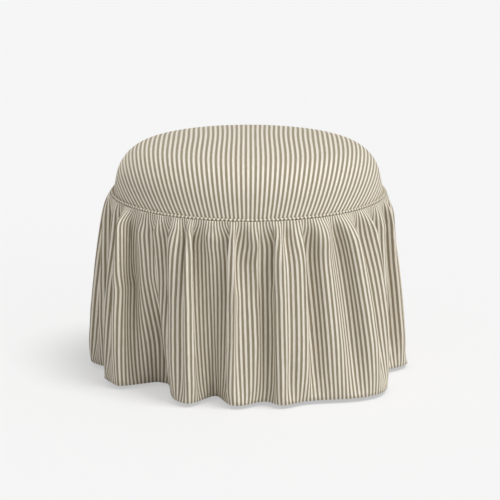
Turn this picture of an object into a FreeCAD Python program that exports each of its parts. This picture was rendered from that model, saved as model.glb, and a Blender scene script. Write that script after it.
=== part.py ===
import FreeCAD, Part
import math
import os

from FreeCAD import Vector

# A round upholstered ottoman with a gathered skirt down to the floor.
# Units are millimetres. The origin is on the floor under the middle of the seat.
# +Z is up and the front is -Y.

# Crown: the domed seat above the welt line
overall_height = 457.0
crown_height = 108.5
seam_radius = 258.7
side_lean = 10.9
shoulder_radius = 73.0
dome_radius = 1098.0
cover_thickness = 1.2
cover_margin = 24.0
cover_staple_drop = 15.5
batting_thickness = 10.0
seat_foam_thickness = 55.0
ply_gap = 0.2

# Rail: two plywood rings, blocks between them and a hardboard band round them
rail_depth = 98.0
ring_ply = 18.0
top_ring_width = 64.0
foot_ring_width = 104.0
band_thickness = 3.0
band_joint = 2.0
block_count = 6
block_width = 60.0
block_depth = 38.0
block_turn = 30.0

# Woven webbing and the cloth over it: the pitch is a share of the ring's radius, the width of the pitch
webbing_pitch_share = 0.354
webbing_width_share = 0.556
webbing_thickness = 1.6
webbing_per_way = 4
webbing_edge = 16.0
deck_cloth_thickness = 0.8
deck_cloth_edge = 18.0

# Legs with hanger bolts, tee nuts and glides
leg_count = 4
leg_setback = 78.0
leg_top_width = 48.0
leg_foot_width = 34.0
leg_corner = 4.0
bolt_diameter = 8.0
bolt_in_leg = 36.0
bolt_point = 6.0
bolt_past_nut = 2.0
bolt_clearance = 0.05
nut_barrel_diameter = 10.0
nut_barrel_length = 10.0
nut_flange_diameter = 23.0
nut_flange_thickness = 1.6
nut_prong_count = 4
nut_prong_length = 6.0
nut_prong_width = 2.0
glide_diameter = 26.0
glide_height = 6.0
glide_edge = 2.0
glide_nail_diameter = 3.0
glide_nail_length = 16.0

# Welt, heading tape and tack strip under the welt line
welt_diameter = 4.6
welt_cord_diameter = 2.4
welt_tail_thickness = 1.0
welt_tail_depth = 9.0
welt_arc_count = 8
tape_thickness = 0.6
tape_depth = 16.0
strip_thickness = 1.2
strip_height = 12.0
strip_staple_share = 0.7

# Skirt: how far the cloth stands off the floor and swings out from the welt line
hem_gap = 8.0
hem_flare = 25.5
draw_in = 0.35
skirt_clearance = 1.2
skirt_thickness = 1.5
dust_cover_thickness = 0.6
dust_cover_edge = 6.0
leg_hole_clearance = 1.0

# Fasteners
screw_diameter = 4.0
screw_head_diameter = 8.0
screw_head_height = 2.6
screw_length = 42.0
screw_point = 5.0
screws_per_block = 2
screw_spread = 32.0
staple_width = 10.0
staple_wire = 0.7
staple_leg = 7.0
strip_staple_count = 24
cover_staple_count = 24
dust_staple_count = 20

# The main folds, going round from the left side by way of the front: the angle from the front,
# and how far the hem stands outside (or inside, if negative) its mean circle.
folds = [
    (-92.0, 17.0), (-76.0, -24.0), (-66.0, 8.0), (-55.5, 9.0), (-49.5, -68.0), (-45.5, -72.0), (-21.5, 17.0),
    (-14.5, -46.0), (-4.5, 11.0), (6.5, -16.0), (12.0, 13.0), (21.5, 1.0), (47.0, 40.0), (74.0, -20.0),
    (88.0, 19.0), (102.0, -24.0), (117.0, 22.0), (131.0, -36.0), (148.0, 22.0), (160.0, -30.0), (173.0, 15.0),
    (186.0, -22.0), (200.0, 18.0), (212.0, -40.0), (226.0, 24.0), (239.0, -26.0), (251.0, 21.0), (260.0, -14.0),
]
middle_fold_index = 8

# Valleys of the gathers along the seam, as angles from the front, and the two of them at the side seams
gathers = [
    -92.0, -78.0, -63.6, -52.0, -42.4, -33.6, -26.4, -20.6, -9.2, -3.4, 7.7, 15.0, 23.4, 35.7, 47.8, 60.0, 71.5,
    80.0, 87.0, 94.0, 101.0, 108.0, 117.0, 130.0, 141.0, 149.0, 161.0, 174.0, 182.0, 193.0, 205.0, 217.0, 225.0,
    238.0, 250.0, 259.0,
]
left_seam_index = 1
right_seam_index = 16
ridge_share = 0.75
valley_share = 1.2

# Down the skirt: share of the drop, share of the flare, share of the fold depth, depth of the gathers
skirt_levels = [
    (0.0, 0.0, 0.0, 0.0), (0.045, 0.09, 0.17, 9.0), (0.10, 0.19, 0.32, 15.0), (0.20, 0.36, 0.46, 15.5),
    (0.36, 0.59, 0.61, 13.5), (0.58, 0.82, 0.77, 11.0), (0.80, 0.96, 0.90, 8.0), (1.0, 1.0, 1.0, 0.0),
]

# Heights, from the floor up
welt_height = overall_height - crown_height
foot_ring_bottom = welt_height - rail_depth
foot_ring_top = foot_ring_bottom + ring_ply
top_ring_bottom = welt_height - ring_ply
deck_cloth_bottom = welt_height + 2 * webbing_thickness
deck_top = deck_cloth_bottom + deck_cloth_thickness
lean = math.radians(side_lean)

# Radii, from the rail outwards
band_radius = seam_radius - cover_thickness - ply_gap
ring_radius = band_radius - band_thickness
welt_tail_inner = seam_radius + ply_gap
tape_inner = welt_tail_inner + welt_tail_thickness + ply_gap
strip_inner = tape_inner + tape_thickness + ply_gap
strip_outer = strip_inner + strip_thickness
tape_outer_leg = strip_outer + staple_wire + ply_gap
skirt_inner = tape_outer_leg + tape_thickness + ply_gap
skirt_top_radius = skirt_inner + skirt_thickness
hem_radius = skirt_top_radius + hem_flare
welt_radius = seam_radius + ply_gap + welt_diameter / 2
skirt_top = welt_height - welt_diameter / 2 - ply_gap
tape_top = skirt_top
strip_top = tape_top - tape_thickness - ply_gap
leg_circle = ring_radius - leg_setback
webbing_pitch = webbing_pitch_share * ring_radius
webbing_width = webbing_width_share * webbing_pitch
up = Vector(0, 0, 1)
centre = Vector(0, 0, 0)


def polar(radius, angle, z=0.0):
    """A point at an angle in degrees from the front, turning towards the right side."""
    a = math.radians(angle)
    return Vector(radius * math.sin(a), -radius * math.cos(a), z)


def segment(a, b):
    return Part.LineSegment(a, b).toShape()


def outline(points):
    """Closed wire through points, with straight sides."""
    return Part.makePolygon([*points, points[0]])


def revolved(edges, angle=360.0):
    """Solid turned about the vertical axis from a profile in the plane Y = 0."""
    return Part.Face(Part.Wire(edges)).revolve(centre, up, angle)


def ring(inner, outer, bottom, top, angle=360.0):
    """Plain ring round the vertical axis, or part of one."""
    corners = [(inner, bottom), (outer, bottom), (outer, top), (inner, top)]
    return revolved(outline([Vector(x, 0, z) for x, z in corners]).Edges, angle)


def open_band(inner, outer, bottom, top, joint):
    """Strip bent round the axis, whose ends leave a joint of that width at the back."""
    gap = math.degrees(joint / outer)
    strip = ring(inner, outer, bottom, top, 360.0 - gap)
    strip.rotate(centre, up, 90.0 + gap / 2)
    return strip


def around(count, turn=0.0):
    """Evenly spaced angles from the front."""
    return [turn + 360.0 * i / count for i in range(count)]


def placed(shape, angle):
    """A copy of a shape drawn at the front, turned to an angle from the front."""
    copy = shape.copy()
    copy.rotate(centre, up, angle)
    return copy


def crown_centres():
    """Centres of the dome arc and of the shoulder arc, which touch each other and the leaning side."""
    dome = Vector(0, 0, overall_height - dome_radius)
    outwards = Vector(math.cos(lean), 0, math.sin(lean))
    start = Vector(seam_radius, 0, welt_height) - shoulder_radius * outwards
    along = Vector(-math.sin(lean), 0, math.cos(lean))
    offset = start - dome
    half = offset.dot(along)
    reach = (dome_radius - shoulder_radius) ** 2
    step = -half + math.sqrt(half * half - offset.dot(offset) + reach)
    return dome, start + step * along


def side_radius(inset, z):
    """Radius of the leaning side, moved in by inset, at a height."""
    return seam_radius - inset / math.cos(lean) - (z - welt_height) * math.tan(lean)


def crown_edges(inset, base):
    """Profile of the crown moved in by inset, from its side at the base height up to the top."""
    dome, shoulder = crown_centres()
    small, large = shoulder_radius - inset, dome_radius - inset
    turn = math.atan2(shoulder.z - dome.z, shoulder.x - dome.x)

    def on_shoulder(a):
        return shoulder + small * Vector(math.cos(a), 0, math.sin(a))

    def on_dome(a):
        return dome + large * Vector(math.cos(a), 0, math.sin(a))

    foot = Vector(side_radius(inset, base), 0, base)
    top = Vector(0, 0, overall_height - inset)
    rise = Part.Arc(on_shoulder(lean), on_shoulder((lean + turn) / 2), on_shoulder(turn)).toShape()
    crest = Part.Arc(on_shoulder(turn), on_dome((turn + math.pi / 2) / 2), top).toShape()
    return foot, [segment(foot, on_shoulder(lean)), rise, crest], top


def make_cover():
    """Fabric over the crown, with a straight margin below the welt line where it is stapled to the rail."""
    inner_foot = welt_height - cover_thickness * math.tan(lean / 2)
    outer_start, outer, outer_top = crown_edges(0.0, welt_height)
    inner_start, inner, inner_top = crown_edges(cover_thickness, inner_foot)
    margin_outer = Vector(seam_radius, 0, welt_height - cover_margin)
    margin_inner = Vector(seam_radius - cover_thickness, 0, welt_height - cover_margin)
    closing = [segment(outer_top, inner_top), segment(inner_start, margin_inner)]
    closing += [segment(margin_inner, margin_outer), segment(margin_outer, outer_start)]
    return revolved(Part.__sortEdges__([*outer, *inner, *closing]))


def make_batting():
    """Polyester wrap between the cover and the foam, ending on the top ring."""
    base = welt_height + ply_gap
    near = cover_thickness + ply_gap
    outer_start, outer, outer_top = crown_edges(near, base)
    inner_start, inner, inner_top = crown_edges(near + batting_thickness, base)
    closing = [segment(outer_top, inner_top), segment(inner_start, outer_start)]
    return revolved(Part.__sortEdges__([*outer, *inner, *closing]))


def make_foams():
    """The firm seat foam, and the soft crowned foam on top of it, split at one level."""
    inset = cover_thickness + batting_thickness + 2 * ply_gap
    base = deck_top + ply_gap
    start, edges, top = crown_edges(inset, base)
    middle = Vector(0, 0, base)
    whole = revolved(Part.__sortEdges__([*edges, segment(top, middle), segment(middle, start)]))
    size = 2 * seam_radius
    lower = Part.makeBox(2 * size, 2 * size, seat_foam_thickness, Vector(-size, -size, base))
    return whole.common(lower), whole.cut(lower)


def make_screw(tip_down):
    """Countersunk wood screw standing on its head's face at the origin, pointing down or up."""
    shank, head = screw_diameter / 2, screw_head_diameter / 2
    points = [
        Vector(0, 0, 0),
        Vector(head, 0, 0),
        Vector(shank, 0, -screw_head_height),
        Vector(shank, 0, screw_point - screw_length),
        Vector(0, 0, -screw_length),
    ]
    screw = revolved(outline(points).Edges)
    if not tip_down:
        screw.rotate(centre, Vector(1, 0, 0), 180.0)
    return screw


def make_staple():
    """Staple whose crown lies on the plane Y = 0 outside it, along X, with its legs pointing to +Y."""
    half = staple_width / 2
    inside = half - staple_wire
    points = [
        Vector(-half, -staple_wire, 0),
        Vector(half, -staple_wire, 0),
        Vector(half, staple_leg, 0),
        Vector(inside, staple_leg, 0),
        Vector(inside, 0, 0),
        Vector(-inside, 0, 0),
        Vector(-inside, staple_leg, 0),
        Vector(-half, staple_leg, 0),
    ]
    staple = Part.Face(outline(points)).extrude(Vector(0, 0, staple_wire))
    staple.translate(Vector(0, 0, -staple_wire / 2))
    return staple


def side_staples(radius, z, count, turn):
    """Staples driven inwards round the rail at a height."""
    staple = make_staple()
    staple.translate(Vector(0, -radius, z))
    return [placed(staple, a) for a in around(count, turn)]


def make_blocks():
    """Blocks that hold the two rings apart, set in until their corners meet the band."""
    outer = math.sqrt(ring_radius**2 - (block_width / 2) ** 2)
    corner = Vector(-block_width / 2, -outer, foot_ring_top)
    block = Part.makeBox(block_width, block_depth, top_ring_bottom - foot_ring_top, corner)
    return [placed(block, a) for a in around(block_count, block_turn)]


def block_screws(z, tip_down):
    """Screws through a ring into each block."""
    middle = math.sqrt(ring_radius**2 - (block_width / 2) ** 2) - block_depth / 2
    screws = []
    for angle in around(block_count, block_turn):
        for i in range(screws_per_block):
            screw = make_screw(tip_down)
            across = screw_spread * (i / max(screws_per_block - 1, 1) - 0.5)
            screw.translate(Vector(across, -middle, z))
            screws.append(placed(screw, angle))
    return screws


def leg_angles():
    return around(leg_count, 180.0 / leg_count)


def rounded_square(width, z):
    """Square wire with rounded corners, centred on the leg circle at the front."""
    half, r = width / 2, leg_corner
    flat = half - r
    edges = []
    for i in range(4):
        a = math.pi / 2 * i
        c, s = math.cos(a), math.sin(a)

        def turned(x, y, c=c, s=s):
            return Vector(c * x - s * y, s * x + c * y - leg_circle, z)

        edges.append(segment(turned(half, -flat), turned(half, flat)))
        bend = flat + r * math.sqrt(0.5)
        edges.append(Part.Arc(turned(half, flat), turned(bend, bend), turned(flat, half)).toShape())
    return Part.Wire(edges)


def make_leg():
    """Tapered square leg at the front, standing on its glide and meeting the foot ring."""
    foot = rounded_square(leg_foot_width, glide_height)
    head = rounded_square(leg_top_width, foot_ring_bottom)
    return Part.makeLoft([foot, head], True)


def make_bolt():
    """Hanger bolt: a pointed wood end in the leg and a machine end through the tee nut."""
    r = bolt_diameter / 2
    low = foot_ring_bottom - bolt_in_leg
    high = foot_ring_top + nut_flange_thickness + bolt_past_nut
    points = [Vector(0, 0, low), Vector(r, 0, low + bolt_point), Vector(r, 0, high), Vector(0, 0, high)]
    bolt = revolved(outline(points).Edges)
    bolt.translate(Vector(0, -leg_circle, 0))
    return bolt


def make_nut():
    """Tee nut: a barrel sunk in the foot ring, a flange on its top face and prongs bent into the wood."""
    bore = bolt_diameter / 2 + bolt_clearance
    barrel, flange = nut_barrel_diameter / 2, nut_flange_diameter / 2
    top = foot_ring_top + nut_flange_thickness
    low = foot_ring_top - nut_barrel_length
    points = [
        Vector(bore, 0, low),
        Vector(barrel, 0, low),
        Vector(barrel, 0, foot_ring_top),
        Vector(flange, 0, foot_ring_top),
        Vector(flange, 0, top),
        Vector(bore, 0, top),
    ]
    nut = revolved(outline(points).Edges)
    place = Vector((barrel + flange) / 2, -nut_prong_width / 2, foot_ring_top - nut_prong_length)
    prong = Part.makeBox(nut_flange_thickness, nut_prong_width, nut_prong_length, place)
    nut = nut.fuse([placed(prong, a) for a in around(nut_prong_count)]).removeSplitter()
    nut.translate(Vector(0, -leg_circle, 0))
    return nut


def make_glide():
    """Nylon glide with a rounded edge and its nail, standing on the floor."""
    r, nail = glide_diameter / 2, glide_nail_diameter / 2
    tip = glide_height + glide_nail_length
    bend = glide_edge * (1 - math.sqrt(0.5))
    foot = Vector(r - glide_edge, 0, 0)
    edges = [
        segment(centre, foot),
        Part.Arc(foot, Vector(r - bend, 0, bend), Vector(r, 0, glide_edge)).toShape(),
        segment(Vector(r, 0, glide_edge), Vector(r, 0, glide_height)),
        segment(Vector(r, 0, glide_height), Vector(nail, 0, glide_height)),
        segment(Vector(nail, 0, glide_height), Vector(nail, 0, tip - glide_nail_diameter)),
        segment(Vector(nail, 0, tip - glide_nail_diameter), Vector(0, 0, tip)),
        segment(Vector(0, 0, tip), centre),
    ]
    glide = revolved(edges)
    glide.translate(Vector(0, -leg_circle, 0))
    return glide


def strap_offsets():
    return [webbing_pitch * (i - (webbing_per_way - 1) / 2) for i in range(webbing_per_way)]


def strap_reach(offset):
    """Half the length of a strap, so that both its corners stay on the ring."""
    return math.sqrt((ring_radius - webbing_edge) ** 2 - (abs(offset) + webbing_width / 2) ** 2)


def make_strap(index, over_first):
    """Strap along X that passes over and under the straps across it, and lies on the ring at both ends."""
    offset = strap_offsets()[index]
    reach = strap_reach(offset)
    half = webbing_width / 2
    path = [(-reach, 0.0)]
    for j, across in enumerate(strap_offsets()):
        raised = webbing_thickness if (index + j) % 2 == over_first else 0.0
        path += [(across - half, raised), (across + half, raised)]
    path.append((reach, 0.0))
    lower = [Vector(x, offset - half, welt_height + z) for x, z in path]
    upper = [p + Vector(0, 0, webbing_thickness) for p in reversed(lower)]
    return Part.Face(outline(lower + upper)).extrude(Vector(0, webbing_width, 0))


def make_webbing():
    """Two sets of straps woven through each other: left to right, and front to back."""
    sideways = [make_strap(i, 0) for i in range(webbing_per_way)]
    lengthways = [make_strap(i, 1).mirror(centre, Vector(1, -1, 0)) for i in range(webbing_per_way)]
    return sideways, lengthways


def webbing_staples():
    """One staple across each end of every strap, driven down into the ring."""
    upright = make_staple()
    upright.rotate(centre, Vector(1, 0, 0), -90.0)
    upright.rotate(centre, up, 90.0)
    upright.translate(Vector(0, 0, welt_height + webbing_thickness))
    staples = []
    for offset in strap_offsets():
        for side in (-1, 1):
            at_end = upright.copy()
            at_end.translate(Vector(side * (strap_reach(offset) - webbing_edge / 2), offset, 0))
            staples += [at_end, at_end.mirror(centre, Vector(1, -1, 0))]
    return staples


def make_welt():
    """The welt's cord, and the strip of fabric wrapped round it with a tail hanging under the welt line."""
    wrap = welt_diameter / 2
    middle = Vector(welt_radius, 0, welt_height)
    tail_outer = welt_tail_inner + welt_tail_thickness
    tail_low = welt_height - welt_tail_depth

    def on_wrap(angle):
        return middle + wrap * Vector(math.cos(angle), 0, math.sin(angle))

    leave = math.acos((welt_radius - tail_outer) / wrap) - math.pi
    step = (math.pi - leave) / (2 * welt_arc_count)
    turns = [leave + step * i for i in range(2 * welt_arc_count + 1)]
    bends = [Part.Arc(*map(on_wrap, turns[2 * i : 2 * i + 3])).toShape() for i in range(welt_arc_count)]
    ends = [Vector(welt_tail_inner, 0, tail_low), Vector(tail_outer, 0, tail_low)]
    path = [on_wrap(math.pi), *ends, on_wrap(leave)]
    tail = [segment(a, b) for a, b in zip(path, path[1:])]
    bore = Part.makeCircle(welt_cord_diameter / 2 + ply_gap / 2, middle, Vector(0, 1, 0))
    section = Part.Face([Part.Wire([*bends, *tail]), Part.Wire([bore])])
    cord = Part.makeTorus(welt_radius, welt_cord_diameter / 2, Vector(0, 0, welt_height), up)
    return cord, section.revolve(centre, up, 360.0)


def make_tape():
    """Heading tape folded over the tack strip: the skirt is gathered onto its outer leg."""
    inside, outside = tape_inner, tape_outer_leg + tape_thickness
    low = tape_top - tape_depth
    corners = [
        Vector(inside, 0, low),
        Vector(inside + tape_thickness, 0, low),
        Vector(inside + tape_thickness, 0, tape_top - tape_thickness),
        Vector(tape_outer_leg, 0, tape_top - tape_thickness),
        Vector(tape_outer_leg, 0, low),
        Vector(outside, 0, low),
        Vector(outside, 0, tape_top),
        Vector(inside, 0, tape_top),
    ]
    return revolved(outline(corners).Edges)


def mid_arc(a, b, tangent):
    """Middle of the arc from a to b that leaves a along tangent, and the arc's direction at b."""
    chord = b - a
    way = chord.normalize() if chord.Length else tangent
    span = (b - a).Length
    turn = math.atan2(tangent.x * way.y - tangent.y * way.x, tangent.dot(way))
    left = Vector(-way.y, way.x, 0)
    middle = (a + b) / 2 - left * (span / 2 * math.tan(turn / 2))
    return middle, way, 2 * tangent.dot(way) * way - tangent


def wave(points, tangents):
    """Two arcs from each point to the next: start, middle and end, with the direction at all three."""
    arcs = []
    for p, q, t, w in zip(points, points[1:], tangents, tangents[1:]):
        v = q - p
        both = v.dot(t + w)
        spread = 2 * (1 - t.dot(w))
        reach = (math.sqrt(both * both + spread * v.dot(v)) - both) / spread
        joint = (p + q + reach * (t - w)) / 2
        middle, way, out = mid_arc(p, joint, t)
        arcs.append(((p, middle, joint), (t, way, out)))
        middle, way, end = mid_arc(joint, q, out)
        arcs.append(((joint, middle, q), (out, way, end)))
    return arcs


def hem_stand(angle):
    """How far the hem stands outside its mean circle, running smoothly from each fold to the next."""
    angle = (angle - folds[0][0]) % 360.0 + folds[0][0]
    ends = [*folds, (folds[0][0] + 360.0, folds[0][1])]
    (low, start), (high, stop) = next(pair for pair in zip(ends, ends[1:]) if angle <= pair[1][0])
    return start + (stop - start) * (1 - math.cos(math.pi * (angle - low) / (high - low))) / 2


def hem_share():
    """Length of the hem round to each whole degree from the middle fold, as a share of all of it."""
    turns = [folds[middle_fold_index][0] + i for i in range(361)]
    points = [polar(hem_radius + hem_stand(a), a) for a in turns]
    lengths = [0.0]
    for a, b in zip(points, points[1:]):
        lengths.append(lengths[-1] + (b - a).Length)
    return [length / lengths[-1] for length in lengths]


def gather_places():
    """Angle at the seam, angle at the hem and size of each valley and ridge; the cloth is spread evenly."""
    shares = hem_share()
    middle = folds[middle_fold_index][0]
    places = []
    for i, valley in enumerate(gathers):
        after = gathers[i + 1] if i + 1 < len(gathers) else gathers[0] + 360.0
        before = gathers[i - 1] if i else gathers[-1] - 360.0
        mean_width = 360.0 / len(gathers)
        valley_size = -valley_share * (after - before) / 2 / mean_width
        ridge_size = ridge_share * (after - valley) / mean_width
        for seam, size in ((valley, valley_size), ((valley + after) / 2, ridge_size)):
            round_share = (seam - middle) / 360.0 % 1.0
            whole = next(j for j in range(360) if shares[j + 1] >= round_share)
            hem = whole + (round_share - shares[whole]) / (shares[whole + 1] - shares[whole])
            places.append((seam, seam + (hem - 360.0 * round_share), size))
    return places


def fold_points(first, last, level):
    """Valleys and ridges of the cloth's outside at one level, from one side seam to the other."""
    drop, flare, depth, gather = level
    z = skirt_top - drop * (skirt_top - hem_gap)
    clearance = skirt_clearance if drop else 0.0
    nearest = skirt_top_radius + clearance - draw_in * max(0.0, foot_ring_bottom - z)
    mean = skirt_top_radius + flare * hem_flare
    lean_share = 1 - (1 - drop) ** 1.5
    points = []
    for i in range(2 * first - 1, 2 * last + 2):
        seam, hem, size = places[i % len(places)]
        radius = max(mean + depth * hem_stand(hem) + gather * size, nearest)
        points.append(polar(radius, seam + (hem - seam) * lean_share, z))
    tangents = [(after - before).normalize() for before, after in zip(points, points[2:])]
    return points[1:-1], tangents


places = gather_places()


def cloth_section(first, last, level):
    """Closed wire of one panel at one level: the wave, and back along the wave moved in."""
    arcs = wave(*fold_points(first, last, level))
    inside = [[p + skirt_thickness * Vector(-t.y, t.x, 0) for p, t in zip(*arc)] for arc in arcs]
    outer = [Part.Arc(*points).toShape() for points, _ in arcs]
    inner = [Part.Arc(*reversed(points)).toShape() for points in reversed(inside)]
    far_end = segment(arcs[-1][0][2], inside[-1][2])
    near_end = segment(inside[0][0], arcs[0][0][0])
    return Part.Wire([*outer, far_end, *inner, near_end])


def make_panel(first, last):
    """One panel of gathered cloth, lofted from the heading down to the hem."""
    sections = [cloth_section(first, last, level) for level in skirt_levels]
    return Part.makeLoft(sections, True, False, False, 3)


def make_dust_cover():
    """Cambric under the rail, cut out for the legs."""
    bottom = foot_ring_bottom - dust_cover_thickness
    sheet = disc(ring_radius - dust_cover_edge, bottom, dust_cover_thickness)
    side = leg_top_width + 2 * leg_hole_clearance
    corner = Vector(-side / 2, -leg_circle - side / 2, foot_ring_bottom - 2 * dust_cover_thickness)
    hole = Part.makeBox(side, side, 3 * dust_cover_thickness, corner)
    return sheet.cut([placed(hole, a) for a in leg_angles()])


def disc(radius, bottom, thickness):
    return Part.makeCylinder(radius, thickness, Vector(0, 0, bottom), up)


def dust_staples():
    """Staples round the edge of the cambric, driven up into the foot ring."""
    upright = make_staple()
    upright.rotate(centre, Vector(1, 0, 0), 90.0)
    edge = ring_radius - 2 * dust_cover_edge
    upright.translate(Vector(0, -edge, foot_ring_bottom - dust_cover_thickness))
    return [placed(upright, a) for a in around(dust_staple_count, 180.0 / dust_staple_count)]


def export(name, shapes):
    """Writes one sub-part, which may be a group of separate solids."""
    shape = shapes[0] if len(shapes) == 1 else Part.makeCompound(shapes)
    shape.exportStep(os.path.join("parts", name + ".step"))


def main():
    os.makedirs("parts", exist_ok=True)
    strip_staple_height = strip_top - strip_height * strip_staple_share
    strip_staples = side_staples(strip_outer, strip_staple_height, strip_staple_count, 0.0)
    cover_staples = side_staples(seam_radius, welt_height - cover_staple_drop, cover_staple_count, 7.5)
    deck_staples = webbing_staples()
    cambric_staples = dust_staples()
    top_screws = block_screws(welt_height, True)
    foot_screws = block_screws(foot_ring_bottom, False)
    bolts = [placed(make_bolt(), a) for a in leg_angles()]
    nuts = [placed(make_nut(), a) for a in leg_angles()]
    glides = [placed(make_glide(), a) for a in leg_angles()]
    legs = [placed(make_leg().cut([make_bolt(), make_glide()]), a) for a in leg_angles()]
    hole_foot = Vector(0, -leg_circle, foot_ring_bottom)
    nut_hole = Part.makeCylinder(nut_barrel_diameter / 2, ring_ply, hole_foot, up)
    nut_holes = [placed(nut_hole, a) for a in leg_angles()]

    foam, topper = make_foams()
    sideways, lengthways = make_webbing()
    cord, welt_cover = make_welt()
    top_ring = ring(ring_radius - top_ring_width, ring_radius, top_ring_bottom, welt_height)
    foot_ring = ring(ring_radius - foot_ring_width, ring_radius, foot_ring_bottom, foot_ring_top)
    band = open_band(ring_radius, band_radius, foot_ring_bottom, welt_height, band_joint)
    strip = open_band(strip_inner, strip_outer, strip_top - strip_height, strip_top, band_joint)
    round_trip = left_seam_index + len(gathers)

    export("crown_cover", [make_cover().cut(cover_staples + strip_staples)])
    export("crown_batting", [make_batting()])
    export("crown_topper_foam", [topper])
    export("seat_foam", [foam])
    export("deck_cloth", [disc(ring_radius - deck_cloth_edge, deck_cloth_bottom, deck_cloth_thickness)])
    export("webbing_left_right", [s.cut(deck_staples) for s in sideways])
    export("webbing_front_back", [s.cut(deck_staples) for s in lengthways])
    export("webbing_staples", deck_staples)
    export("top_ring", [top_ring.cut(deck_staples + top_screws + strip_staples + cover_staples)])
    export("foot_ring", [foot_ring.cut(cambric_staples + foot_screws + nuts + nut_holes)])
    for i, block in enumerate(make_blocks()):
        export(f"rail_block_{i + 1}", [block.cut(top_screws + foot_screws)])
    export("top_ring_screws", top_screws)
    export("foot_ring_screws", foot_screws)
    export("rail_band", [band.cut(strip_staples + cover_staples)])
    export("cover_staples", cover_staples)
    export("welt_cord", [cord])
    export("welt_cover", [welt_cover])
    export("skirt_heading_tape", [make_tape().cut(strip_staples)])
    export("tack_strip", [strip.cut(strip_staples)])
    export("tack_strip_staples", strip_staples)
    export("skirt_front", [make_panel(left_seam_index, right_seam_index)])
    export("skirt_back", [make_panel(right_seam_index, round_trip)])
    for i, corner in enumerate(("front_right", "back_right", "back_left", "front_left")):
        export(f"leg_{corner}", [legs[i]])
        export(f"hanger_bolt_{corner}", [bolts[i]])
        export(f"tee_nut_{corner}", [nuts[i]])
        export(f"glide_{corner}", [glides[i]])
    export("dust_cover", [make_dust_cover().cut(cambric_staples)])
    export("dust_cover_staples", cambric_staples)


main()
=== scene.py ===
import math

import bmesh
import bpy
import numpy as np
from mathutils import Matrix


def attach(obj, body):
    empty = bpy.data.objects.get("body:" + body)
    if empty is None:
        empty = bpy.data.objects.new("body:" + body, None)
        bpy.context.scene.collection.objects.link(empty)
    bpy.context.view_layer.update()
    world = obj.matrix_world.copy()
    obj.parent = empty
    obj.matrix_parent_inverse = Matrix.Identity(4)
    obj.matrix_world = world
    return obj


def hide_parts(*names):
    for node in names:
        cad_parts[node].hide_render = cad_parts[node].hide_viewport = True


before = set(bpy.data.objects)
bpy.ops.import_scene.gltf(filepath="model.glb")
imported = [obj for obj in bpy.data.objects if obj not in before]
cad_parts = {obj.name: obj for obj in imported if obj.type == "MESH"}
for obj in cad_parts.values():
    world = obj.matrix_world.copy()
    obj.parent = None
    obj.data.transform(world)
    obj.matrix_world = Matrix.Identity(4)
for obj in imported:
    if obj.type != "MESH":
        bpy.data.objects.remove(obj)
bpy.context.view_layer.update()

print("frame loaded:", len(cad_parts), "nodes")

stripePitch = 0.00917  # one light and one dark stripe on the flat cloth
fullTurn = 2 * math.pi


# mesh helpers

def addObject(name, data):
    # a new object at the origin
    obj = bpy.data.objects.new(name, data)
    bpy.context.scene.collection.objects.link(obj)
    return obj


def gridObject(name, points, uv, wrap=False, merge=False):
    # quads between neighbouring points of a grid whose rows go down and whose columns turn to the right
    # wrap joins the last column to the first, and uv then has one column more
    # merge joins points that lie in one place: those of a pole, or the first and last rows of a tube
    rows, cols = points.shape[:2]
    index = np.arange(rows * cols).reshape(rows, cols)
    nextCol = np.roll(index, -1, axis=1) if wrap else index[:, 1:]
    thisCol = index if wrap else index[:, :-1]
    quads = np.stack([thisCol[1:], nextCol[1:], nextCol[:-1], thisCol[:-1]], axis=-1).reshape(-1, 4)
    mesh = bpy.data.meshes.new(name)
    mesh.from_pydata(points.reshape(-1, 3), [], quads)
    corners = np.stack([uv[1:, :-1], uv[1:, 1:], uv[:-1, 1:], uv[:-1, :-1]], axis=-2).reshape(-1, 2)
    mesh.uv_layers.new(name="cloth").data.foreach_set("uv", corners.astype(np.float32).ravel())
    if merge:
        work = bmesh.new()
        work.from_mesh(mesh)
        bmesh.ops.remove_doubles(work, verts=work.verts, dist=1e-7)
        work.to_mesh(mesh)
        work.free()
    mesh.shade_smooth()
    mesh.update()
    return addObject(name, mesh)


def addSolidify(obj, thickness):
    # the cloth's thickness goes inwards from the surface
    wall = obj.modifiers.new("wall", "SOLIDIFY")
    wall.thickness = thickness
    wall.offset = -1.0


# material helpers

def addNode(tree, kind, inputs):
    # a new node whose inputs are set to a value or joined to another node's output
    node = tree.nodes.new(kind)
    for key, value in inputs.items():
        if isinstance(value, bpy.types.NodeSocket):
            tree.links.new(value, node.inputs[key])
        else:
            node.inputs[key].default_value = value
    return node


def newMaterial(name):
    # an empty material with one shader joined to its output
    mat = bpy.data.materials.new(name)
    mat.use_nodes = True
    tree = mat.node_tree
    tree.nodes.clear()
    shader = tree.nodes.new("ShaderNodeBsdfPrincipled")
    addNode(tree, "ShaderNodeOutputMaterial", {"Surface": shader.outputs[0]})
    return mat, tree, shader


def mathNode(tree, operation, *values):
    # one step of arithmetic on numbers or outputs
    node = addNode(tree, "ShaderNodeMath", dict(enumerate(values)))
    node.operation = operation
    return node.outputs[0]


def mixColours(tree, factor, first, second):
    # the first colour where the factor is 0, the second where it is 1
    node = tree.nodes.new("ShaderNodeMix")
    node.data_type = "RGBA"
    node.inputs[6].default_value = (*first, 1)
    node.inputs[7].default_value = (*second, 1)
    tree.links.new(factor, node.inputs[0])
    return node.outputs[2]


def drawnNoise(tree, coords, scale, stretch, detail):
    # noise whose grain is drawn out along the axes with a small stretch
    place = addNode(tree, "ShaderNodeMapping", {"Vector": coords, "Scale": stretch})
    inputs = {"Vector": place.outputs[0], "Scale": scale, "Detail": detail}
    noise = addNode(tree, "ShaderNodeTexNoise", inputs)
    return noise.outputs["Fac"]


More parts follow.
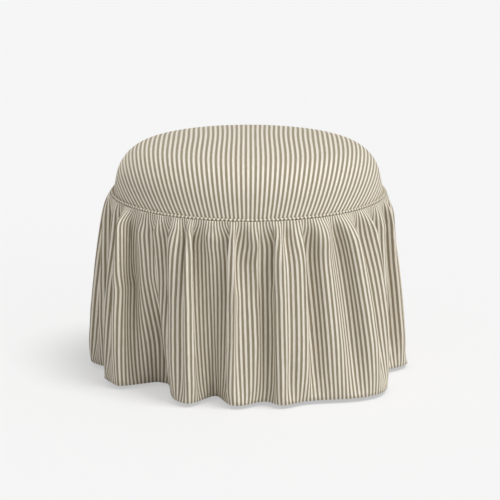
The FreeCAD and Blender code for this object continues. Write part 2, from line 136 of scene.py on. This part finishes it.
def weaveValue(tree, x, y, thread):
    # plain weave: a sine across the warp times a sine across the weft, each one thread pair long
    warp = mathNode(tree, "SINE", mathNode(tree, "MULTIPLY", x, fullTurn / thread))
    weft = mathNode(tree, "SINE", mathNode(tree, "MULTIPLY", y, fullTurn / thread))
    return mathNode(tree, "MULTIPLY", warp, weft)


def addBump(tree, shader, height, strength, distance):
    # fine relief from a height
    bump = addNode(tree, "ShaderNodeBump", {"Strength": strength, "Distance": distance, "Height": height})
    tree.links.new(bump.outputs[0], shader.inputs["Normal"])


# striped ticking: the stripe runs along the cloth's length and repeats across its width

ticking = dict(
    light=(0.850, 0.795, 0.692), dark=(0.297, 0.252, 0.174), darkShare=0.52, edge=0.10,
    # slub: fineness across and along the stripe, how much it mottles the tone and moves the stripe's edge
    slubScale=(900, 60, 1), slubDetail=3.0, slubTone=0.32, slubWander=0.10,
    thread=0.00062, weaveTone=0.035, bump=0.25, bumpDepth=0.0003,
    rough=0.92, specular=0.2, sheen=0.5, sheenRough=0.4, sheenTint=(1.0, 0.90, 0.74),
)


def tickingMaterial(name, look):
    # light and dark by the distance from a light stripe's middle, mottled by slub and weave
    mat, tree, shader = newMaterial(name)
    uv = tree.nodes.new("ShaderNodeUVMap")
    uv.uv_map = "cloth"
    split = addNode(tree, "ShaderNodeSeparateXYZ", {0: uv.outputs[0]})
    across, along = split.outputs["X"], split.outputs["Y"]
    slub = drawnNoise(tree, uv.outputs[0], 1.0, look["slubScale"], look["slubDetail"])
    slub = mathNode(tree, "SUBTRACT", slub, 0.5)
    weave = weaveValue(tree, across, along, look["thread"])

    # distance from the middle of the light stripe, from 0 to 0.5 of the repeat
    repeat = mathNode(tree, "DIVIDE", across, stripePitch)
    moved = mathNode(tree, "ADD", repeat, mathNode(tree, "MULTIPLY", slub, look["slubWander"]))
    change = 0.5 - look["darkShare"] / 2
    ramp = addNode(tree, "ShaderNodeMapRange", {
        "Value": mathNode(tree, "PINGPONG", moved, 0.5),
        "From Min": change - look["edge"] / 2, "From Max": change + look["edge"] / 2,
    })
    ramp.interpolation_type = "SMOOTHSTEP"
    colour = mixColours(tree, ramp.outputs[0], look["light"], look["dark"])

    tone = mathNode(tree, "MULTIPLY", slub, look["slubTone"])
    tone = mathNode(tree, "ADD", tone, mathNode(tree, "MULTIPLY", weave, look["weaveTone"]))
    shade = tree.nodes.new("ShaderNodeVectorMath")
    shade.operation = "SCALE"
    tree.links.new(colour, shade.inputs[0])
    tree.links.new(mathNode(tree, "ADD", tone, 1.0), shade.inputs["Scale"])
    tree.links.new(shade.outputs[0], shader.inputs["Base Color"])
    addBump(tree, shader, mathNode(tree, "ADD", weave, slub), look["bump"], look["bumpDepth"])
    shader.inputs["Roughness"].default_value = look["rough"]
    shader.inputs["Specular IOR Level"].default_value = look["specular"]
    shader.inputs["Sheen Weight"].default_value = look["sheen"]
    shader.inputs["Sheen Roughness"].default_value = look["sheenRough"]
    shader.inputs["Sheen Tint"].default_value = (*look["sheenTint"], 1)
    return mat


tickingCloth = tickingMaterial("ticking stripe", ticking)


# crown: the domed, padded seat

crown = dict(
    height=0.4570, seamHeight=0.3485, seamRadius=0.2587, lean=math.radians(10.9),
    shoulderRadius=0.0730, domeRadius=1.0980, margin=0.020, marginRows=4,
    around=480, rows=96, thickness=0.0012,
    # stripe width from seam (0) to top (1), as a share of the cloth's own: highest power first
    closing=[0.124, 0.528, -1.497, 1.015, 0.800],
)


def crownProfile(shape):
    # the CAD profile: a leaning line, the shoulder arc and the dome arc, each touching the next
    lean, small, large = shape["lean"], shape["shoulderRadius"], shape["domeRadius"]
    domeZ = shape["height"] - large
    seam = np.array([shape["seamRadius"], shape["seamHeight"]])
    # the shoulder's centre keeps its radius from the line and lies where its arc touches the dome's
    startX, startZ = seam - small * np.array([math.cos(lean), math.sin(lean)])
    half = -startX * math.sin(lean) + (startZ - domeZ) * math.cos(lean)
    step = -half + math.sqrt(half**2 - startX**2 - (startZ - domeZ) ** 2 + (large - small) ** 2)
    centre = np.array([startX - step * math.sin(lean), startZ + step * math.cos(lean)])
    turn = math.atan2(centre[1] - domeZ, centre[0])
    lineEnd = centre + small * np.array([math.cos(lean), math.sin(lean)])
    line, shoulder, dome = np.hypot(*(lineEnd - seam)), small * (turn - lean), large * (math.pi / 2 - turn)
    s = np.linspace(0.0, line + shoulder + dome, shape["rows"])
    onLine = seam + (lineEnd - seam) * np.clip(s / line, 0, 1)[:, None]
    angle = lean + np.clip(s - line, 0, shoulder) / small
    onShoulder = centre + small * np.stack([np.cos(angle), np.sin(angle)], 1)
    angle = turn + np.clip(s - line - shoulder, 0, dome) / large
    onDome = np.stack([large * np.cos(angle), domeZ + large * np.sin(angle)], 1)
    profile = np.where((s < line)[:, None], onLine, onShoulder)
    profile = np.where((s >= line + shoulder)[:, None], onDome, profile)
    return profile, s


def makeCrown(shape):
    # the profile turned about the axis from the top down, with a straight margin tucked under the welt
    profile, s = crownProfile(shape)
    count = shape["marginRows"]
    below = shape["margin"] * np.arange(1, count + 1) / count
    tuck = np.stack([np.full(count, shape["seamRadius"]), shape["seamHeight"] - below], 1)
    profile = np.concatenate([profile[::-1], tuck])
    s = np.concatenate([s[::-1], -below])
    profile[0, 0] = 0.0
    theta = np.linspace(0, fullTurn, shape["around"] + 1)
    r, z = profile[:, :1], profile[:, 1:]
    points = np.stack([r * np.sin(theta), -r * np.cos(theta), z + 0 * theta], -1)
    # the cloth is drawn in towards the seam, so its stripes close up there, and is widest over the shoulder
    closeUp = np.polyval(shape["closing"], np.clip(s / s[0], 0, 1))
    across = points[..., 0] / closeUp[:, None]
    along = (s - s[0])[:, None] * np.cos(theta)
    obj = gridObject("crown", points[:, :-1], np.stack([across, along], -1), wrap=True, merge=True)
    obj.data.materials.append(tickingCloth)
    return obj


crownPiece = makeCrown(crown)
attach(crownPiece, "root")
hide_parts("crown_cover")
addSolidify(crownPiece, crown["thickness"])
print("crown:", len(crownPiece.data.polygons), "faces")


# welt: a thin self-covered cord on the seam

welt = dict(
    radius=0.2612, height=0.3485, thick=0.0023, around=900, tube=14,
    pitchShare=7.7 / 9.17,  # the stripe's repeat along the cord, as a share of the flat cloth's
)


def makeWelt(shape):
    # a ring of small circles, with the stripe across the cord
    theta = np.linspace(0, fullTurn, shape["around"] + 1)
    phi = -np.linspace(0, fullTurn, shape["tube"] + 1)[:, None]
    r = shape["radius"] + shape["thick"] * np.cos(phi)
    z = shape["height"] + shape["thick"] * np.sin(phi) + 0 * theta
    points = np.stack([r * np.sin(theta), -r * np.cos(theta), z], -1)
    across = shape["radius"] * theta / shape["pitchShare"] + 0 * phi
    uv = np.stack([across, shape["thick"] * phi + 0 * theta], -1)
    obj = gridObject("welt", points[:, :-1], uv, wrap=True, merge=True)
    obj.data.materials.append(tickingCloth)
    return obj


weltPiece = makeWelt(welt)
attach(weltPiece, "root")
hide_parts("welt_cover")
print("welt:", len(weltPiece.data.polygons), "faces")


# skirt: gathered at the welt, opening into the main folds towards the hem

skirt = dict(
    top=0.3466, hem=0.008, topRadius=0.2653, flare=0.0255, thickness=0.0012,
    # main folds: angle from the front in degrees, and how far in mm the hem stands outside its mean circle
    folds=[
        (-92.0, 17.0), (-76.0, -24.0), (-66.0, 8.0), (-55.5, 9.0), (-49.5, -68.0), (-45.5, -72.0),
        (-21.5, 17.0), (-14.5, -46.0), (-4.5, 11.0), (6.5, -16.0), (12.0, 13.0), (21.5, 1.0), (47.0, 40.0),
        (74.0, -20.0), (88.0, 19.0), (102.0, -24.0), (117.0, 22.0), (131.0, -36.0), (148.0, 22.0),
        (160.0, -30.0), (173.0, 15.0), (186.0, -22.0), (200.0, 18.0), (212.0, -40.0), (226.0, 24.0),
        (239.0, -26.0), (251.0, 21.0), (260.0, -14.0),
    ],
    # valleys of the gathers along the seam, in degrees from the front
    gathers=[
        -92, -78, -63.6, -52, -42.4, -33.6, -26.4, -20.6, -9.2, -3.4, 7.7, 15, 23.4, 35.7, 47.8, 60, 71.5, 80,
        87, 94, 101, 108, 117, 130, 141, 149, 161, 174, 182, 193, 205, 217, 225, 238, 250, 259,
    ],
    # where each of these valleys meets the hem
    feet=[
        -88, -76, -65, -52.5, -44, -33, -24.5, -18.2, -9.0, -3.2, 8.5, 15.5, 25, 39.3, 52.7, 65.3, 79.3, 88,
        95.1, 103, 110.3, 117.6, 125.5, 139.6, 150.6, 157.1, 169.7, 183.4, 192.7, 203.9, 215.2, 225.3, 233.9,
        245.9, 256.5, 264,
    ],
    seamGathers=(1, 16),  # the valleys in which the two panels are sewn together
    # where the cloth lies back, or out if less than 0: angle and half width in degrees, depth in mm
    layBack=[
        (2.1, 5.6, 20.0), (29.5, 6.5, 14.0), (-14.9, 5.8, 10.0), (-6.3, 3.4, -9.0), (15.5, 7.0, -9.0),
        (-23.5, 3.8, -8.0), (92.0, 24.0, 6.0),
    ],
    # how soon the flare, the folds, their shift to the side and the lay back come in on the way down
    flarePower=2.0, foldPower=0.48, foldStart=0.03, shiftPower=1.5, layBackStart=0.25,
    # the rail keeps the cloth out, and under the rail it may swing in on a slope
    railReach=0.2605, railFrom=0.338, railEase=0.030, swingFrom=0.2205, swingEase=0.02, drawIn=0.35,
    # gathers: the drop in which they open, lean to one side, sharpness of the valleys, greatest size
    opening=0.14, tilt=0.45, tiltSeed=4, sharpness=0.22, deepest=0.030, deepestPower=0.7,
    chord=15,  # points to each side of the chord that a gather stands square to
    # rounding where the cloth touches the rail, and the rounds in which each gather's size is found
    touchEase=0.004, touchStart=0.05, halvings=18, smoothings=3,
    fullness=1.2,  # the hem is eased in a little: the cloth is longer than its edge
    # the hem is turned up inside: rows of it, and its gap and droop in thicknesses of the cloth
    hemRows=4, hemGap=2.3, hemDroop=0.5,
    columns=1200, rows=60, rowPower=1.35, foldPoints=80,
)


def smoothStep(x):
    # an S from 0 to 1: three times the square less twice the cube
    x = np.clip(x, 0, 1)
    return x * x * (3 - 2 * x)


def scatter(count, seed):
    # the same fixed unevenness each run, from -1 to 1
    return np.random.default_rng(seed).uniform(-1, 1, count)


def stepsRound(ring):
    # distance from each point of a closed ring to the next
    return np.abs(np.roll(ring, -1, axis=1) - ring)


def directionRound(ring, reach=1):
    # unit direction along a closed ring, from some points before to as many after
    along = np.roll(ring, -reach, axis=1) - np.roll(ring, reach, axis=1)
    return along / np.abs(along)


def hemCurve(shape, radius):
    # radius plus each fold's stand, with half a cosine wave from a fold to the next
    # a place in plan is one complex number, and the front is at -1j
    at, stand = np.array(shape["folds"]).T
    stand = stand / 1000
    t = np.linspace(0, 1, shape["foldPoints"], endpoint=False)
    span = np.diff(np.append(at, at[0] + 360))
    angle = np.radians((at[:, None] + span[:, None] * t).ravel())
    rise = (1 - np.cos(math.pi * t)) / 2
    reach = (stand[:, None] + (np.roll(stand, -1) - stand)[:, None] * rise).ravel()
    return -1j * (radius + reach) * np.exp(1j * angle), angle


def seamPoints(shape):
    # points round the seam: the gather that each lies in, and t from 0 to 1 between that gather's valleys
    count = 2 * shape["columns"]
    valleys = np.array(shape["gathers"])
    first = np.round((valleys - valleys[0]) / 360 * count).astype(int)
    width = np.diff(np.append(first, count))
    cell = np.repeat(np.arange(len(first)), width)
    t = (np.arange(count) - first[cell]) / width[cell]
    angle = math.radians(valleys[0]) + fullTurn * np.arange(count) / count
    return dict(first=first, width=width, cell=cell, t=t, angle=angle)


def hemPoints(shape, seam, radius):
    # where each seam point comes down: a gather holds as much cloth as the hem has between its two feet
    curve, angle = hemCurve(shape, radius)
    run = np.append(0, np.cumsum(np.abs(np.diff(np.append(curve, curve[0])))))
    run, edge = run[:-1], run[-1]
    foot = np.interp(np.radians(shape["feet"]), angle, run) / edge
    start = foot - foot[0]
    cloth = np.diff(np.append(start, 1))
    at = (foot[0] + start[seam["cell"]] + cloth[seam["cell"]] * seam["t"]) * edge
    place = np.interp(at, run, curve.real, period=edge) + 1j * np.interp(at, run, curve.imag, period=edge)
    return dict(place=place, start=start, cloth=cloth, edge=edge)


def mainFolds(shape, seam, hem, radius, drop):
    # a plain ring at the seam whose radius and angle go over to the hem's, by powers of the drop
    hemAngle = np.unwrap(np.angle(1j * hem["place"]))
    hemAngle += fullTurn * np.round((seam["angle"] - hemAngle).mean() / fullTurn)
    angle = seam["angle"] + (hemAngle - seam["angle"]) * (1 - (1 - drop) ** shape["shiftPower"])
    flare = 1 - (1 - drop) ** shape["flarePower"]
    depth = drop ** shape["foldPower"] * (1 - np.exp(-drop / shape["foldStart"]))
    main = shape["topRadius"] + flare * shape["flare"] + depth * (np.abs(hem["place"]) - radius)
    # the lay back is a flat-topped bell round its angle, and fades out at the seam and at the hem
    for middle, half, back in shape["layBack"]:
        inside = np.exp(-(((np.degrees(seam["angle"]) - middle) / half) ** 4))
        main = main - back / 1000 * inside * smoothStep(drop / shape["layBackStart"]) * (1 - drop**2)
    return -1j * main * np.exp(1j * angle)


def railLimit(shape, z):
    # least radius of the cloth at each height: the rail's reach, less a slope with a rounded start below it
    ease = smoothStep((shape["railFrom"] - z) / shape["railEase"])
    below = shape["swingFrom"] - z
    swing = (below + np.sqrt(below**2 + shape["swingEase"] ** 2)) / 2
    return shape["topRadius"] + (shape["railReach"] - shape["topRadius"]) * ease - shape["drawIn"] * swing


def gatherCloth(shape, seam, base, nearest, drop, target):
    # a gather is a broad ridge between narrow valleys, pushed over to one side by its own tilt
    first, cell, t = seam["first"], seam["cell"], seam["t"]
    count = len(first)
    tilt = shape["tilt"] * scatter(count, shape["tiltSeed"])[cell]
    wave = -np.cos(fullTurn * t) - shape["sharpness"] * np.cos(2 * fullTurn * t)
    swing = tilt * np.sin(fullTurn * t)
    side = np.where(t < 0.5, -1, 1)
    share = 0.5 * smoothStep(2 * np.abs(t - 0.5))
    along = directionRound(base, shape["chord"])
    ease = shape["touchEase"] * np.minimum(1, drop / shape["touchStart"])

    def plan(size):
        # the gathers stand square to the main folds; the size between two gathers is shared by both
        local = size[:, cell] * (1 - share) + size[:, (cell + side) % count] * share
        free = base + local * along * (swing - 1j * wave)
        reach = np.abs(free)
        kept = (reach + nearest + np.sqrt((reach - nearest) ** 2 + ease**2)) / 2
        return free * kept / reach

    # each gather takes up the cloth that the main folds leave over: its size is found by halving its range
    low = np.zeros((len(drop), count))
    high = shape["deepest"] * (1 - drop) ** shape["deepestPower"] + low
    for _ in range(shape["halvings"]):
        size = (low + high) / 2
        short = np.add.reduceat(stepsRound(plan(size)), first, axis=1) < target
        low, high = np.where(short, size, low), np.where(short, high, size)
    for _ in range(shape["smoothings"]):
        low[1:-1] = (low[:-2] + 2 * low[1:-1] + low[2:]) / 4
    print("gathers up to", round(1000 * low.max(), 1), "mm")
    return plan(low)


def evenCloth(seam, hem, ring, even):
    # the same curves with points at equal widths of cloth along each gather, so a stripe keeps its width
    first, cell = seam["first"], seam["cell"]
    step = stepsRound(ring)
    run = np.cumsum(step, axis=1) - step
    taken = np.add.reduceat(step, first, axis=1)
    run = hem["start"][cell] + (run - run[:, first][:, cell]) / taken[:, cell] * hem["cloth"][cell]
    return np.stack([
        np.interp(even, np.append(r, 1), np.append(p.real, p.real[0]))
        + 1j * np.interp(even, np.append(r, 1), np.append(p.imag, p.imag[0]))
        for r, p in zip(run, ring)
    ])


def turnUpHem(shape, place, z):
    # the lowest rows again, set in by the hem's gap, with the fold half as far in and a little lower
    inwards = 1j * directionRound(place[:, :-1])
    inwards = np.concatenate([inwards, inwards[:, :1]], axis=1)
    gap = shape["hemGap"] * shape["thickness"]
    upwards = np.arange(len(place) - 1, len(place) - 1 - shape["hemRows"], -1)
    under = place[-1:] + gap / 2 * inwards[-1:]
    plan = np.concatenate([place, under, place[upwards] + gap * inwards[upwards]])
    level = np.concatenate([z, z[-1:] - shape["hemDroop"] * shape["thickness"], z[upwards]])
    return np.stack([plan.real, plan.imag, level + 0 * plan.real], -1)


def skirtSurface(shape):
    # rows of the plan from seam to hem, each as long as its cloth, which is crushed together at the seam
    hemRadius = shape["topRadius"] + shape["flare"]
    seam = seamPoints(shape)
    hem = hemPoints(shape, seam, hemRadius)
    flat = hem["edge"] * shape["fullness"]
    drop = (np.linspace(0, 1, shape["rows"]) ** shape["rowPower"])[:, None]
    z = shape["top"] - drop * (shape["top"] - shape["hem"])
    base = mainFolds(shape, seam, hem, hemRadius, drop)
    shut = fullTurn * shape["topRadius"] / flat * seam["width"] / len(seam["cell"])
    target = flat * (shut + (hem["cloth"] - shut) * smoothStep(drop / shape["opening"]))
    ring = gatherCloth(shape, seam, base, railLimit(shape, z), drop, target)
    even = np.arange(shape["columns"] + 1) / shape["columns"]
    grid = turnUpHem(shape, evenCloth(seam, hem, ring, even), z)
    length = np.append(0, np.cumsum(np.linalg.norm(np.diff(grid, axis=0), axis=2).mean(1)))[:, None]
    uv = np.stack([even * flat + 0 * length, -length + 0 * even], -1)
    print("skirt cloth:", round(flat, 3), "x", round(length[-1, 0], 3), "m")
    seams = [int(round(hem["start"][i] * shape["columns"])) for i in shape["seamGathers"]]
    return grid, uv, flat, length[-1, 0], seams


skirtPoints, skirtUv, skirtFlat, skirtLength, (leftSeam, rightSeam) = skirtSurface(skirt)
panels = {
    "skirt_front": np.arange(leftSeam, rightSeam + 1),
    "skirt_back": np.arange(rightSeam, leftSeam + skirt["columns"] + 1),
}
for node, columns in panels.items():
    wrapped = columns % skirt["columns"]
    uv = skirtUv[:, wrapped].copy()
    uv[..., 0] += (columns // skirt["columns"]) * skirtFlat
    piece = gridObject(node.replace("_", ""), skirtPoints[:, wrapped], uv)
    piece.data.materials.append(tickingCloth)
    addSolidify(piece, skirt["thickness"])
    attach(piece, "root")
    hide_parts(node)
    print(node + ":", len(piece.data.polygons), "faces")


# finishes of the pieces under the cloth, each from noise on Object coordinates

finishBase = dict(
    stretch=(1, 1, 1), bump=0.2, metal=0.0, sheen=0.0,
    contrast=(0.3, 0.7), grainDetail=4.0, fineScale=6, fineDetail=2.0, roughSpread=0.08, weaveTone=0.35,
    bumpDepth=0.0004,
)
finishLooks = dict(
    beech=dict(name="lacquered beech", light=(0.60, 0.41, 0.25), dark=(0.43, 0.27, 0.15),
               scale=90, stretch=(1, 1, 0.05), rough=0.42),
    plywood=dict(name="birch plywood", light=(0.74, 0.58, 0.39), dark=(0.50, 0.35, 0.21),
                 scale=60, stretch=(0.1, 1, 1), rough=0.65, ply=0.0018),
    pine=dict(name="sawn pine", light=(0.78, 0.61, 0.40), dark=(0.60, 0.42, 0.24),
              scale=70, stretch=(1, 1, 0.06), rough=0.7, bump=0.3),
    hardboard=dict(name="hardboard", light=(0.37, 0.25, 0.15), dark=(0.25, 0.16, 0.09), scale=700, rough=0.6),
    steel=dict(name="zinc steel", light=(0.72, 0.72, 0.70), dark=(0.56, 0.56, 0.55),
               scale=900, rough=0.35, metal=1.0),
    nylon=dict(name="moulded nylon", light=(0.31, 0.29, 0.26), dark=(0.26, 0.24, 0.215),
               scale=500, rough=0.5, bump=0.08),
    cambric=dict(name="black cambric", light=(0.035, 0.035, 0.035), dark=(0.012, 0.012, 0.012),
                 scale=1200, rough=0.9, thread=0.0009, sheen=0.2),
    card=dict(name="grey card", light=(0.55, 0.47, 0.35), dark=(0.43, 0.36, 0.26), scale=800, rough=0.85),
    tape=dict(name="cotton tape", light=(0.84, 0.81, 0.74), dark=(0.70, 0.67, 0.60),
              scale=900, rough=0.9, sheen=0.2),
    burlap=dict(name="burlap", light=(0.56, 0.43, 0.27), dark=(0.36, 0.26, 0.15),
                scale=500, rough=0.95, thread=0.0022, bump=0.5),
    webbing=dict(name="jute webbing", light=(0.60, 0.47, 0.30), dark=(0.40, 0.29, 0.17),
                 scale=400, rough=0.9, thread=0.0030, bump=0.5),
    foam=dict(name="cut foam", light=(0.86, 0.82, 0.68), dark=(0.74, 0.70, 0.56),
              scale=900, rough=0.95, bump=0.5),
    batting=dict(name="fibre batting", light=(0.90, 0.90, 0.88), dark=(0.78, 0.78, 0.76),
                 scale=300, rough=1.0, bump=0.6, sheen=0.4),
    cord=dict(name="cotton cord", light=(0.85, 0.82, 0.75), dark=(0.68, 0.65, 0.58), scale=900, rough=0.9),
)
# the finish of each node, by how the node's name starts; the longest start that fits holds
wornBy = {
    "leg_": "beech", "glide_": "nylon", "hanger_bolt_": "steel", "tee_nut_": "steel",
    "top_ring_screws": "steel", "foot_ring_screws": "steel", "webbing_staples": "steel",
    "cover_staples": "steel", "tack_strip_staples": "steel", "dust_cover_staples": "steel",
    "top_ring": "plywood", "foot_ring": "plywood", "rail_block_": "pine", "rail_band": "hardboard",
    "tack_strip": "card", "skirt_heading_tape": "tape", "deck_cloth": "burlap", "webbing_": "webbing",
    "crown_batting": "batting", "crown_topper_foam": "foam", "seat_foam": "foam", "welt_cord": "cord",
    "dust_cover": "cambric",
}


def finishMaterial(own):
    # two colours mixed by grain noise, with finer noise in the roughness and the bump
    look = {**finishBase, **own}
    mat, tree, shader = newMaterial(look["name"])
    coords = tree.nodes.new("ShaderNodeTexCoord").outputs["Object"]
    split = addNode(tree, "ShaderNodeSeparateXYZ", {0: coords})
    value = drawnNoise(tree, coords, look["scale"], look["stretch"], look["grainDetail"])
    fineScale = look["scale"] * look["fineScale"]
    fineGrain = drawnNoise(tree, coords, fineScale, look["stretch"], look["fineDetail"])
    if "ply" in look:
        # plies show as bands of height, each of its own tone
        layer = mathNode(tree, "DIVIDE", split.outputs["Z"], look["ply"])
        layer = mathNode(tree, "PINGPONG", layer, 1.0)
        value = mathNode(tree, "MULTIPLY", mathNode(tree, "ADD", value, layer), 0.5)
    if "thread" in look:
        weave = weaveValue(tree, split.outputs["X"], split.outputs["Y"], look["thread"])
        value = mathNode(tree, "ADD", value, mathNode(tree, "MULTIPLY", weave, look["weaveTone"]))
    low, high = look["contrast"]
    ramp = addNode(tree, "ShaderNodeMapRange", {"Value": value, "From Min": low, "From Max": high})
    colour = mixColours(tree, ramp.outputs[0], look["dark"], look["light"])
    tree.links.new(colour, shader.inputs["Base Color"])
    rough = addNode(tree, "ShaderNodeMapRange", {
        "Value": fineGrain,
        "To Min": look["rough"] - look["roughSpread"], "To Max": look["rough"] + look["roughSpread"],
    })
    tree.links.new(rough.outputs[0], shader.inputs["Roughness"])
    addBump(tree, shader, mathNode(tree, "ADD", value, fineGrain), look["bump"], look["bumpDepth"])
    shader.inputs["Metallic"].default_value = look["metal"]
    shader.inputs["Sheen Weight"].default_value = look["sheen"]
    return mat


finishes = {key: finishMaterial(look) for key, look in finishLooks.items()}
for node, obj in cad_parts.items():
    fitting = [start for start in wornBy if node.startswith(start)]
    if not fitting:
        continue
    worn = finishes[wornBy[max(fitting, key=len)]]
    if not obj.material_slots:
        obj.data.materials.append(worn)
    for place in obj.material_slots:
        place.material = worn
print("finishes:", len(finishes))


# dust cover: thin black cloth under the rail, cut out for the legs

dustCover = dict(
    radius=0.2483, height=0.2499, legCircle=0.1763, legHole=0.0500, sag=0.004, step=0.005, thickness=0.0006,
    legTurn=math.radians(45),  # the legs stand on the diagonals
    clear=0.3,  # a grid line nearer to a hole's edge than this share of the step is left out
)


def makeDustCover(shape):
    # a square grid turned to the legs: points outside the disc are drawn in to its edge, and the middle sags
    count = int(shape["radius"] / shape["step"]) + 1
    lines = np.linspace(-shape["radius"], shape["radius"], 2 * count + 1)
    half = shape["legHole"] / 2
    sides = np.array([-half, half])
    exact = np.concatenate([shape["legCircle"] + sides, -shape["legCircle"] - sides, sides])
    free = np.abs(lines[:, None] - exact).min(1) > shape["clear"] * shape["step"]
    lines = np.sort(np.concatenate([lines[free], exact]))
    x, y = np.meshgrid(lines, lines)
    inside = np.hypot(x, y) < shape["radius"]
    drawIn = np.minimum(1, shape["radius"] / np.maximum(np.hypot(x, y), 1e-9))
    x, y = x * drawIn, y * drawIn
    z = shape["height"] - shape["sag"] * (1 - (np.hypot(x, y) / shape["radius"]) ** 2)
    cos, sin = math.cos(shape["legTurn"]), math.sin(shape["legTurn"])
    points = np.stack([x * cos - y * sin, x * sin + y * cos, z], -1).reshape(-1, 3)

    # quads that touch the disc and lie in none of the four leg holes
    index = np.arange(len(points)).reshape(x.shape)
    quads = np.stack([index[:-1, :-1], index[1:, :-1], index[1:, 1:], index[:-1, 1:]], -1)
    touching = inside[:-1, :-1] | inside[1:, :-1] | inside[1:, 1:] | inside[:-1, 1:]
    middles = (lines[:-1] + lines[1:]) / 2
    onAxis = np.abs(middles) < half
    atLeg = np.abs(np.abs(middles) - shape["legCircle"]) < half
    holes = (atLeg & onAxis[:, None]) | (onAxis & atLeg[:, None])
    quads = quads[touching & ~holes]
    used = np.unique(quads)
    renumber = np.zeros(len(points), int)
    renumber[used] = np.arange(len(used))
    mesh = bpy.data.meshes.new("dustcover")
    mesh.from_pydata(points[used], [], renumber[quads])
    mesh.shade_smooth()
    return addObject("dustcover", mesh)


dustPiece = makeDustCover(dustCover)
dustPiece.data.materials.append(finishes["cambric"])
addSolidify(dustPiece, dustCover["thickness"])
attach(dustPiece, "root")
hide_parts("dust_cover")
print("dust cover:", len(dustPiece.data.polygons), "faces")


# floor, light and camera

stageLook = dict(
    halfSize=30.0, floor=0.80, shown=0.97, showShare=0.5, world=0.44,
    # name, strength, spread in degrees and the side the light comes from
    lamps=[("key", 2.02, 24, (0.32, -0.17, 0.92)), ("fill", 0.36, 30, (0.58, -0.72, 0.38))],
)


def makeFloor(look):
    # a flat square that the camera sees in part as an even sheet of paper, which softens the shadow on it
    mesh = bpy.data.meshes.new("floor")
    corners = np.array([[-1, -1, 0], [1, -1, 0], [1, 1, 0], [-1, 1, 0]]) * look["halfSize"]
    mesh.from_pydata(corners, [], [(0, 1, 2, 3)])
    mat, tree, shader = newMaterial("pale floor")
    shader.inputs["Base Color"].default_value = (look["floor"], look["floor"], look["floor"], 1)
    shader.inputs["Roughness"].default_value = 1.0
    shader.inputs["Specular IOR Level"].default_value = 0.0
    paper = addNode(tree, "ShaderNodeEmission", {"Color": (look["shown"], look["shown"], look["shown"], 1)})
    path = tree.nodes.new("ShaderNodeLightPath")
    seen = mathNode(tree, "MAXIMUM", path.outputs["Is Camera Ray"], path.outputs["Is Glossy Ray"])
    seen = mathNode(tree, "MAXIMUM", seen, path.outputs["Is Transmission Ray"])
    share = mathNode(tree, "MULTIPLY", seen, look["showShare"])
    mix = addNode(tree, "ShaderNodeMixShader", {0: share, 1: shader.outputs[0], 2: paper.outputs[0]})
    tree.links.new(mix.outputs[0], tree.get_output_node("ALL").inputs["Surface"])
    mesh.materials.append(mat)
    addObject("floor", mesh)


def makeLight(look):
    # an even world and sun lamps, each turned so that it shines from its side
    world = bpy.data.worlds.new("soft room")
    world.use_nodes = True
    background = world.node_tree.nodes["Background"]
    background.inputs["Color"].default_value = (1.0, 1.0, 1.0, 1)
    background.inputs["Strength"].default_value = look["world"]
    bpy.context.scene.world = world
    for name, energy, spread, (x, y, up) in look["lamps"]:
        lamp = bpy.data.lights.new(name, "SUN")
        lamp.energy = energy
        lamp.angle = math.radians(spread)
        obj = addObject(name, lamp)
        obj.rotation_euler = (math.atan2(math.hypot(x, y), up), 0, math.atan2(x, -y))


makeFloor(stageLook)
makeLight(stageLook)

# focal length, picture width and the axis's place across it in pixels, sensor in mm, the rest in metres
view = dict(
    focal=2600, picture=500, axisAt=248.33, distance=5.018, elevation=math.radians(13.46), aimHeight=0.2305,
    sensor=36.0, farthest=100.0,
)


def makeCamera(look):
    # stands in front, raised to the photo's angle, with a lens of focal pixels on the picture's width
    lens = bpy.data.cameras.new("camera")
    lens.sensor_width = look["sensor"]
    lens.lens = look["focal"] / look["picture"] * look["sensor"]
    lens.shift_x = (look["picture"] / 2 - look["axisAt"]) / look["picture"]
    lens.clip_end = look["farthest"]
    camera = addObject("camera", lens)
    back = look["distance"] * math.cos(look["elevation"])
    rise = look["distance"] * math.sin(look["elevation"])
    camera.location = (0, -back, look["aimHeight"] + rise)
    camera.rotation_euler = (math.pi / 2 - look["elevation"], 0, 0)
    bpy.context.scene.camera = camera


makeCamera(view)
bpy.context.scene.view_settings.view_transform = "Standard"
print("floor, light and camera done")
